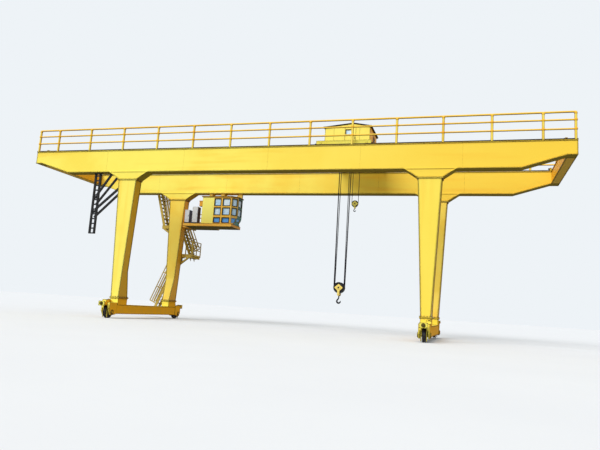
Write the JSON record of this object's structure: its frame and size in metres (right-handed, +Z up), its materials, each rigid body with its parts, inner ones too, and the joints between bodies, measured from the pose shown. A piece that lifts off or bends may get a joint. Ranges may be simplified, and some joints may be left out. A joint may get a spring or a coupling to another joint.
{
  "type": "gantry crane",
  "caption": "Double-girder gantry crane on box legs, with a hoist trolley, hook blocks, a glazed cab, stairs and railings.",
  "frame": {"origin": "on the ground line, midway between the legs and midway between the girders", "axes": "+X along the girders to the right, +Y across them away from the camera, +Z up"},
  "size_m": [31.94, 9.54, 12.22],
  "materials": {
    "yellow_paint": "semi-gloss",
    "black_paint": "satin",
    "tread_steel": "satin",
    "track_steel": "worn",
    "drum_steel": "greased",
    "wheel_iron": "worn",
    "rope_wire": "greased",
    "buffer_rubber": "matt",
    "cabinet_grey": "satin",
    "window_glass": "clear"
  },
  "bodies": {
    "structure": {"near_girder": "yellow_paint", "far_girder": "yellow_paint", "left_end_beam": "yellow_paint", "right_end_beam": "yellow_paint", "near_left_leg": "yellow_paint", "near_right_leg": "yellow_paint", "far_left_leg": "yellow_paint", "far_right_leg": "yellow_paint", "left_carriage": "yellow_paint", "right_carriage": "yellow_paint", "travel_buffers": "buffer_rubber", "travel_drives": "yellow_paint", "near_railing": "yellow_paint", "far_railing": "yellow_paint", "trolley_tracks": "track_steel", "collector_frame": "black_paint", "lower_stair_sides": "yellow_paint", "middle_stair_sides": "yellow_paint", "upper_stair_sides": "yellow_paint", "stair_treads": "tread_steel", "stair_landings": "yellow_paint", "cab_platform": "yellow_paint", "cab_frame": "yellow_paint", "cab_glass": "window_glass", "cab_roof": "yellow_paint", "cab_hangers": "yellow_paint", "control_cabinets": "cabinet_grey", "junction_box": "yellow_paint"},
    "trolley": {"trolley_frame": "yellow_paint", "trolley_wheels": "wheel_iron", "hoist_house": "yellow_paint", "house_roof": "yellow_paint", "house_window": "window_glass", "hoist_drums": "drum_steel", "main_ropes": "rope_wire", "aux_ropes": "rope_wire"},
    "main_block": {"main_block_cheeks": "yellow_paint", "main_sheaves": "black_paint"},
    "main_hook_body": {"main_hook": "black_paint"},
    "aux_block": {"aux_block_cheeks": "yellow_paint", "aux_sheave": "black_paint"},
    "aux_hook_body": {"aux_hook": "black_paint"},
    "near_left_wheel_body": {"near_left_wheel": "wheel_iron"},
    "near_right_wheel_body": {"near_right_wheel": "wheel_iron"},
    "far_left_wheel_body": {"far_left_wheel": "wheel_iron"},
    "far_right_wheel_body": {"far_right_wheel": "wheel_iron"}
  },
  "joints": [
    {"name": "trolley_travel", "type": "slide", "parent": "structure", "child": "trolley", "axis": [1, 0, 0], "range_m": [-17.9, 9.4]},
    {"name": "main_hoist", "type": "slide", "parent": "trolley", "child": "main_block", "axis": [0, 0, 1], "range_m": [-1.3, 6], "deforming": ["main_ropes"]},
    {"name": "main_hook_swivel", "type": "hinge", "parent": "main_block", "child": "main_hook_body", "pos_m": [3.75, 0, 2.16], "axis": [0, 0, 1], "continuous": true},
    {"name": "aux_hoist", "type": "slide", "parent": "trolley", "child": "aux_block", "axis": [0, 0, 1], "range_m": [-6.7, 1.3], "deforming": ["aux_ropes"]},
    {"name": "aux_hook_swivel", "type": "hinge", "parent": "aux_block", "child": "aux_hook_body", "pos_m": [4.43, 0, 7.33], "axis": [0, 0, 1], "continuous": true},
    {"name": "near_left_wheel_turn", "type": "hinge", "parent": "structure", "child": "near_left_wheel_body", "pos_m": [-9, -3.9, 0.35], "axis": [1, 0, 0], "continuous": true},
    {"name": "near_right_wheel_turn", "type": "hinge", "parent": "structure", "child": "near_right_wheel_body", "pos_m": [9, -3.9, 0.35], "axis": [1, 0, 0], "continuous": true},
    {"name": "far_left_wheel_turn", "type": "hinge", "parent": "structure", "child": "far_left_wheel_body", "pos_m": [-9, 3.9, 0.35], "axis": [1, 0, 0], "continuous": true},
    {"name": "far_right_wheel_turn", "type": "hinge", "parent": "structure", "child": "far_right_wheel_body", "pos_m": [9, 3.9, 0.35], "axis": [1, 0, 0], "continuous": true}
  ]
}
